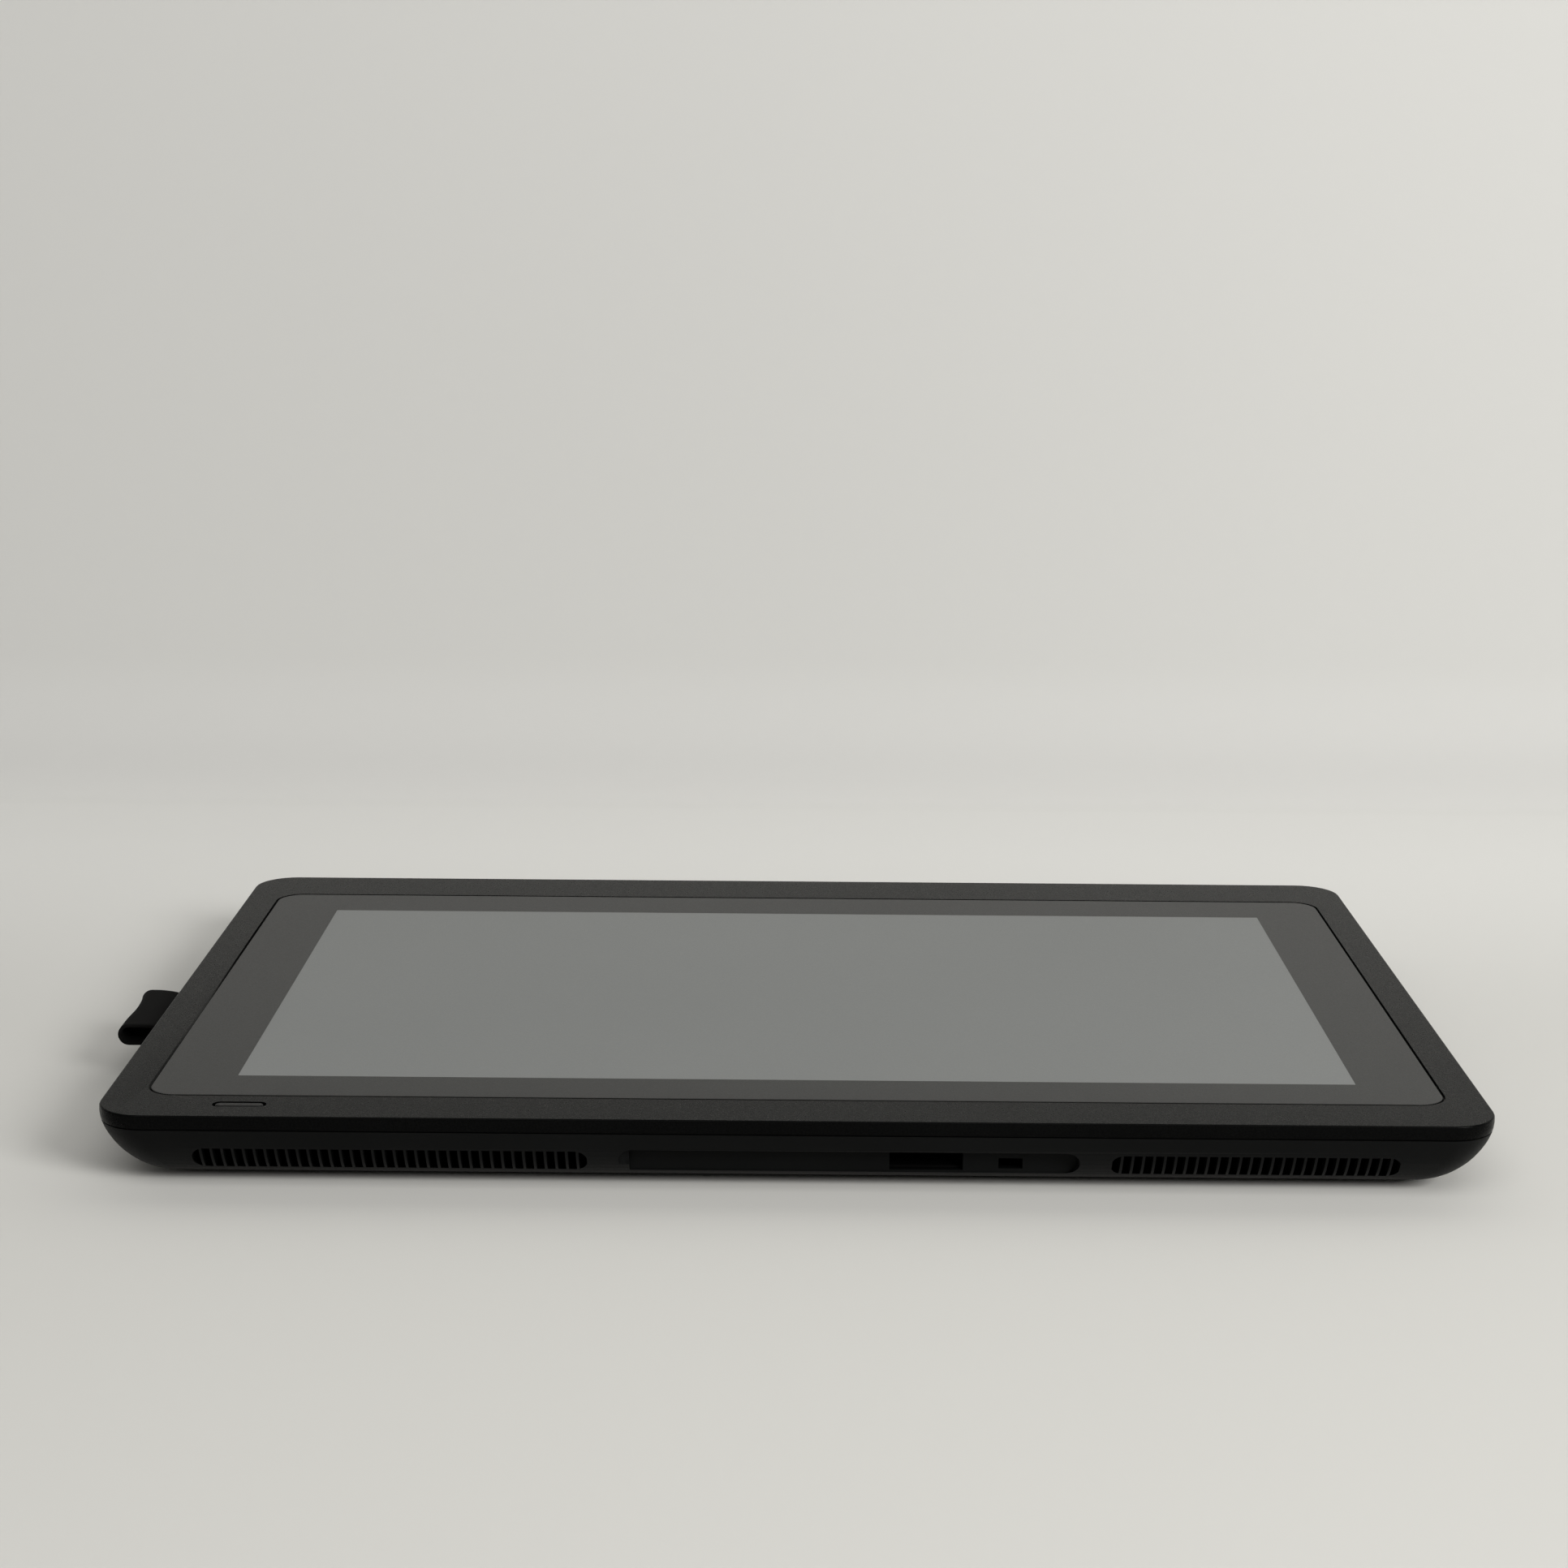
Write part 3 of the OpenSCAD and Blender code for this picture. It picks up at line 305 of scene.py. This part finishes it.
def shellCopy(node, name, edge, crown):
    piece = bpy.data.objects.new(name, cadNodes[node].data.copy())
    bpy.context.collection.objects.link(piece)
    startEdit(piece)
    bpy.ops.mesh.remove_doubles(threshold=smoothing["weld"])
    bpy.ops.mesh.dissolve_limited(angle_limit=math.radians(smoothing["flatAngle"]))
    endEdit()
    if crown:  # rounds the upper edge alone
        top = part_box(node)[1].z
        startEdit(piece, False)
        bpy.ops.mesh.select_mode(type="EDGE")
        selectEdges(piece, lambda place, way: place.z > top - hair)
        bpy.ops.mesh.bevel(offset=crown, segments=smoothing["crownSteps"], affect="EDGES")
        endEdit()
    if edge:
        applyModifier(piece, "BEVEL", width=edge, segments=smoothing["edgeSteps"], limit_method="ANGLE",
                      angle_limit=math.radians(smoothing["edgeAngle"]), use_clamp_overlap=True)
    finishShading(piece)
    return piece


shells = [  # piece, node, body, slot, rounding of all its edges, rounding of its upper edge
    ("bezel_frame", "front_bezel", "case", "bezel_plastic", 0.0, 0.0),
    ("moulded_back", "rear_cover", "case", "cover_plastic", 0.0, 0.0),
    ("button_cap", "power_button", "power_button", "button_plastic", 0.0, 0.0006),
    ("front_foot_strips", "front_feet", "case", "rubber", 0.0005, 0.0),
    ("rear_foot_strips", "rear_feet", "case", "rubber", 0.0005, 0.0),
    ("left_stand_leg", "left_leg", "left_leg", "cover_plastic", 0.0005, 0.0),
    ("right_stand_leg", "right_leg", "right_leg", "cover_plastic", 0.0005, 0.0),
    ("left_leg_grip", "left_leg_pad", "left_leg", "rubber", 0.0004, 0.0),
    ("right_leg_grip", "right_leg_pad", "right_leg", "rubber", 0.0004, 0.0),
]
for name, node, body, slot, edge, crown in shells:
    shell = shellCopy(node, name, edge, crown)
    paint(shell, paints[slot])
    fit(shell, body, slot, node)
print("shells smoothed:", len(shells))


# Cover glass with its dark border and the switched-off picture

glass = {"corner": 0.009, "cornerSteps": 16, "rim": 0.0007, "rimSteps": 3, "pictureWidth": 0.34416,
         "pictureNear": -0.091495, "pictureFar": 0.102095}


def makeGlass():
    low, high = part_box("cover_glass")
    middle = (low + high) / 2
    bpy.ops.object.select_all(action="DESELECT")
    bpy.ops.mesh.primitive_cube_add(size=1, location=middle)
    sheet = bpy.context.object
    sheet.name = "etched_glass"
    sheet.scale = high - low
    settle(sheet)
    startEdit(sheet, False)
    bpy.ops.mesh.select_mode(type="EDGE")
    selectEdges(sheet, lambda place, way: abs(way.z) > alongAxis)
    bpy.ops.mesh.bevel(offset=glass["corner"], segments=glass["cornerSteps"], affect="EDGES")
    selectEdges(sheet, lambda place, way: place.z > high.z - hair and abs(way.z) < acrossAxis)
    bpy.ops.mesh.bevel(offset=glass["rim"], segments=glass["rimSteps"], affect="EDGES")
    half = glass["pictureWidth"] / 2
    cuts = (((half, 0, 0), (1, 0, 0)), ((-half, 0, 0), (1, 0, 0)),
            ((0, glass["pictureFar"], 0), (0, 1, 0)), ((0, glass["pictureNear"], 0), (0, 1, 0)))
    for spot, way in cuts:  # along the four sides of the picture
        bpy.ops.mesh.select_all(action="SELECT")
        bpy.ops.mesh.bisect(plane_co=spot, plane_no=way)
    endEdit()
    paint(sheet, paints["cover_glass"], picturePaint, glassRimPaintedShade)
    for face in sheet.data.polygons:
        inside = abs(face.center.x) < half and glass["pictureNear"] < face.center.y < glass["pictureFar"]
        if face.normal.z < alongAxis:
            face.material_index = 2  # rim and sides, near-black as painted shade in the gap to the bezel
        elif inside:
            face.material_index = 1  # picture
    finishShading(sheet)
    return fit(sheet, "case", "cover_glass", "cover_glass")


makeGlass()
print("glass made")


# Pen loop of folded webbing, its tab pushed into the slot in the side

# powerEnd, flareEnd, waistStart and waistLength are shares of the strip's width
loop = {"thickness": 0.0011, "slotX": 0.2083, "foldX": 0.22135, "radius": 0.00305, "middleZ": 0.01605,
        "pinch": 0.8, "userPower": 2.4, "farPower": 4.6, "powerEnd": 0.4,
        "flare": 0.00065, "flareEnd": 0.2, "waist": 0.0005, "waistStart": 0.05, "waistLength": 0.75,
        "lengthSteps": 24, "strandSteps": 10, "foldSteps": 14, "edge": 0.0003, "edgeSteps": 2,
        "edgeAngle": 50, "smoothAngle": 40, "tabWidth": 0.02, "tabThickness": 0.0023, "tabEnd": 0.2036}


def loopOutline(power):  # the strip's middle line: out along the top, round the fold, back below
    reach = loop["foldX"] - loop["slotX"]
    strand = []
    for step in range(loop["strandSteps"]):
        away = 1 - step / loop["strandSteps"]
        strand.append((loop["foldX"] - away * reach, loop["radius"] * (1 - loop["pinch"] * away ** power)))
    fold = []
    for step in range(loop["foldSteps"] + 1):
        turn = math.pi * (0.5 - step / loop["foldSteps"])
        fold.append((loop["foldX"] + loop["radius"] * math.cos(turn), loop["radius"] * math.sin(turn)))
    return strand + fold + [(x, -z) for x, z in reversed(strand)]


def makeLoop():
    low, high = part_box("pen_loop")
    length = high.y - low.y
    outline = loopOutline(loop["userPower"])
    count = len(outline)
    bpy.ops.object.select_all(action="DESELECT")
    bpy.ops.mesh.primitive_circle_add(vertices=count, radius=loop["radius"], location=(0, 0, 0))
    strip = bpy.context.object
    strip.name = "pen_loop_webbing"
    for vertex, (x, z) in zip(strip.data.vertices, outline):
        vertex.co = (x, low.y, loop["middleZ"] + z)
    startEdit(strip)
    bpy.ops.mesh.select_mode(type="EDGE")
    stride = (0, length / loop["lengthSteps"], 0)
    for step in range(loop["lengthSteps"]):
        bpy.ops.mesh.extrude_region_move(TRANSFORM_OT_translate={"value": stride})
    endEdit()
    gain = loop["farPower"] - loop["userPower"]
    for vertex in strip.data.vertices:  # pinched and flared at the user's end, drawn in behind that
        along = (vertex.co.y - low.y) / length
        power = loop["userPower"] + gain * min(1, along / loop["powerEnd"])
        vertex.co.z = loop["middleZ"] + loopOutline(power)[vertex.index % count][1]
        out = (vertex.co.x - loop["slotX"]) / (loop["foldX"] - loop["slotX"])
        flare = loop["flare"] * max(0, 1 - along / loop["flareEnd"]) ** 2
        drawn = min(1, max(0, (along - loop["waistStart"]) / loop["waistLength"]))
        waist = loop["waist"] * math.sin(math.pi * drawn) ** 2
        vertex.co.x += out * (flare - waist)
    uvMap = strip.data.uv_layers.new(name="strip")
    rounds = [0.0]
    for first, last in zip(outline, outline[1:] + outline[:1]):
        rounds.append(rounds[-1] + math.dist(first, last))
    for face in strip.data.polygons:
        ring = [strip.data.loops[i].vertex_index % count for i in face.loop_indices]
        wraps = 0 in ring and count - 1 in ring
        for i in face.loop_indices:
            vertex = strip.data.loops[i].vertex_index
            place = vertex % count
            u = rounds[count] if wraps and place == 0 else rounds[place]
            uvMap.data[i].uv = (u, strip.data.vertices[vertex].co.y)
    startEdit(strip)
    bpy.ops.mesh.normals_make_consistent(inside=False)
    endEdit()
    applyModifier(strip, "SOLIDIFY", thickness=loop["thickness"], offset=0.0, use_rim=True)
    applyModifier(strip, "BEVEL", width=loop["edge"], segments=loop["edgeSteps"], limit_method="ANGLE",
                  angle_limit=math.radians(loop["edgeAngle"]))
    smoothShade(strip, loop["smoothAngle"])
    tabX = (loop["tabEnd"] + loop["slotX"]) / 2
    tabLength = loop["slotX"] - loop["tabEnd"]
    bpy.ops.object.select_all(action="DESELECT")
    bpy.ops.mesh.primitive_cube_add(size=1, location=(tabX, (low.y + high.y) / 2, loop["middleZ"]))
    tab = bpy.context.object
    tab.scale = (tabLength, loop["tabWidth"], loop["tabThickness"])
    settle(tab)
    tab.data.uv_layers[0].name = "strip"
    strip.select_set(True)
    bpy.context.view_layer.objects.active = strip
    bpy.ops.object.join()
    paint(strip, paints["webbing"])
    return fit(strip, "case", "webbing", "pen_loop")


makeLoop()
print("pen loop made")


# Cross-head screws under the case

coverScrew = {"headRadius": 0.0025, "headTop": 0.0054, "headDepth": 0.0018, "headSides": 32,
              "headEdge": 0.0005, "headEdgeSteps": 3, "shankRadius": 0.0012, "shankLength": 0.0076,
              "shankSides": 20, "slotLength": 0.003, "slotWidth": 0.0007, "slotDepth": 0.001, "turnStep": 0.6,
              "places": ((0.174, -0.06), (0.174, 0.06), (0.06, -0.11), (0.07, 0.03))}


def makeScrews():
    look = coverScrew
    headLow = look["headTop"] - look["headDepth"]
    bpy.ops.object.select_all(action="DESELECT")
    bpy.ops.mesh.primitive_cylinder_add(vertices=look["headSides"], radius=look["headRadius"],
                                        depth=look["headDepth"],
                                        location=(0, 0, look["headTop"] - look["headDepth"] / 2))
    pattern = bpy.context.object
    settle(pattern)
    startEdit(pattern, False)
    bpy.ops.mesh.select_mode(type="EDGE")
    selectEdges(pattern, lambda place, way: place.z < headLow + hair and abs(way.z) < acrossAxis)
    bpy.ops.mesh.bevel(offset=look["headEdge"], segments=look["headEdgeSteps"], affect="EDGES")
    endEdit()
    for turn in (0, math.pi / 2):
        bpy.ops.object.select_all(action="DESELECT")
        bpy.ops.mesh.primitive_cube_add(size=1, location=(0, 0, headLow), rotation=(0, 0, turn))
        cutter = bpy.context.object
        cutter.scale = (look["slotLength"], look["slotWidth"], 2 * look["slotDepth"])
        settle(cutter)
        applyModifier(pattern, "BOOLEAN", operation="DIFFERENCE", solver="EXACT", object=cutter)
        bpy.data.objects.remove(cutter)
    bpy.ops.object.select_all(action="DESELECT")
    bpy.ops.mesh.primitive_cylinder_add(vertices=look["shankSides"], radius=look["shankRadius"],
                                        depth=look["shankLength"],
                                        location=(0, 0, look["headTop"] + look["shankLength"] / 2))
    shank = bpy.context.object
    settle(shank)
    pattern.select_set(True)
    bpy.context.view_layer.objects.active = pattern
    bpy.ops.object.join()
    copies = []
    for side in (-1, 1):  # the places are those of the right-hand half
        for number, (x, y) in enumerate(look["places"]):
            pickOnly(pattern)
            bpy.ops.object.duplicate()
            screw = bpy.context.object
            screw.rotation_euler.z = look["turnStep"] * number + side  # each stops at a turn of its own
            screw.location = (side * x, y, 0)
            settle(screw)
            copies.append(screw)
    bpy.data.objects.remove(pattern)
    bpy.ops.object.select_all(action="DESELECT")
    for screw in copies:
        screw.select_set(True)
    bpy.context.view_layer.objects.active = copies[0]
    bpy.ops.object.join()
    screws = bpy.context.object
    screws.name = "case_screws"
    smoothShade(screws)
    paint(screws, paints["screw_steel"])
    return fit(screws, "case", "screw_steel", "cover_screws")


makeScrews()
print("screws made")


# Paper sweep, light and world

# The paper's tones hold painted light and shade: a paler floor behind the tablet and a darker wall.
sweep = {"width": 6.0, "near": 2.2, "wall": -0.43, "height": 2.4, "bend": 0.06, "bendSteps": 16,
         "margin": 0.001, "smoothAngle": 40, "rough": 0.8, "frontTone": (0.66, 0.656, 0.63),
         "behindPaintedLightTone": (0.79, 0.788, 0.765), "wallPaintedShadeTone": (0.61, 0.608, 0.59),
         "behindPaintedLightY": (-0.3, 0.0), "wallPaintedShadeY": (-0.415, -0.36)}


def blendTones(tree, value, span, first, second):  # first at the start of the span, second at its end
    ramp = addNode(tree, "ShaderNodeMapRange", interpolation_type="SMOOTHSTEP")
    ramp.inputs["From Min"].default_value, ramp.inputs["From Max"].default_value = span
    tree.links.new(value, ramp.inputs["Value"])
    mix = addNode(tree, "ShaderNodeMixRGB")
    tree.links.new(ramp.outputs["Result"], mix.inputs["Fac"])
    tree.links.new(first, mix.inputs["Color1"])
    tree.links.new(second, mix.inputs["Color2"])
    return mix.outputs["Color"]


def paperPaintedLightTone(tree):  # painted light and shade: the floor paler behind the tablet, the wall darker
    split = addNode(tree, "ShaderNodeSeparateXYZ")
    tree.links.new(addNode(tree, "ShaderNodeTexCoord").outputs["Object"], split.inputs["Vector"])
    tones = {}
    for key in ("frontTone", "behindPaintedLightTone", "wallPaintedShadeTone"):
        swatch = addNode(tree, "ShaderNodeRGB")
        swatch.outputs["Color"].default_value = (*sweep[key], 1)
        tones[key] = swatch.outputs["Color"]
    floor = blendTones(tree, split.outputs["Y"], sweep["behindPaintedLightY"], tones["behindPaintedLightTone"], tones["frontTone"])
    return blendTones(tree, split.outputs["Y"], sweep["wallPaintedShadeY"], tones["wallPaintedShadeTone"], floor)


def makeSweep():
    bpy.ops.object.select_all(action="DESELECT")
    bpy.ops.mesh.primitive_plane_add(size=1, location=(0, (sweep["near"] + sweep["wall"]) / 2, 0))
    paper = bpy.context.object
    paper.name = "paper_sweep"
    paper.scale = (sweep["width"], sweep["near"] - sweep["wall"], 1)
    settle(paper)
    startEdit(paper, False)
    bpy.ops.mesh.select_mode(type="EDGE")
    wallLine = sweep["wall"] + sweep["margin"]
    selectEdges(paper, lambda place, way: place.y < wallLine)
    bpy.ops.mesh.extrude_region_move(TRANSFORM_OT_translate={"value": (0, 0, sweep["height"])})
    selectEdges(paper, lambda place, way: place.y < wallLine and place.z < sweep["margin"]
                and abs(way.x) > alongAxis)
    bpy.ops.mesh.bevel(offset=sweep["bend"], segments=sweep["bendSteps"], affect="EDGES")
    endEdit()
    smoothShade(paper, sweep["smoothAngle"])
    material, tree, shader = startMaterial("paper_finish")
    tree.links.new(paperPaintedLightTone(tree), shader.inputs["Base Color"])
    shader.inputs["Roughness"].default_value = sweep["rough"]
    side = addNode(tree, "ShaderNodeNewGeometry")
    clear = addNode(tree, "ShaderNodeBsdfTransparent")
    mix = addNode(tree, "ShaderNodeMixShader")  # the paper's back is clear, for views from behind and below
    tree.links.new(side.outputs["Backfacing"], mix.inputs["Fac"])
    tree.links.new(shader.outputs["BSDF"], mix.inputs[1])
    tree.links.new(clear.outputs["BSDF"], mix.inputs[2])
    tree.links.new(mix.outputs["Shader"], tree.nodes["Material Output"].inputs["Surface"])
    paint(paper, material)


lamps = {
    "key_window": {"place": (-1.4, 1.6, 1.15), "target": (0.3, -0.6, 0.9), "size": (0.9, 0.9), "energy": 46,
                   "tint": (1.0, 0.99, 0.97)},
    "ceiling": {"place": (0.0, 1.5, 1.9), "target": (0, 0, 0), "size": (2.4, 1.6), "energy": 22,
                "tint": (1.0, 0.99, 0.975)},
}
room = {"tint": (1.0, 0.99, 0.97), "strength": 0.12}


def aimLight(name, place, target, size, energy, tint):
    bpy.ops.object.light_add(type="AREA", location=place)
    lamp = bpy.context.object
    lamp.name = name
    lamp.data.shape = "RECTANGLE"
    lamp.data.size, lamp.data.size_y = size
    lamp.data.energy = energy
    lamp.data.color = tint
    lamp.rotation_euler = (Vector(target) - Vector(place)).to_track_quat("-Z", "Y").to_euler()


def addLight():
    for name, lamp in lamps.items():
        aimLight(name, **lamp)
    world = bpy.data.worlds.new("room")
    bpy.context.scene.world = world
    world.use_nodes = True
    backdrop = world.node_tree.nodes["Background"]
    backdrop.inputs["Color"].default_value = (*room["tint"], 1)
    backdrop.inputs["Strength"].default_value = room["strength"]


makeSweep()
addLight()
bpy.context.scene.view_settings.view_transform = "Standard"
print("stage set")
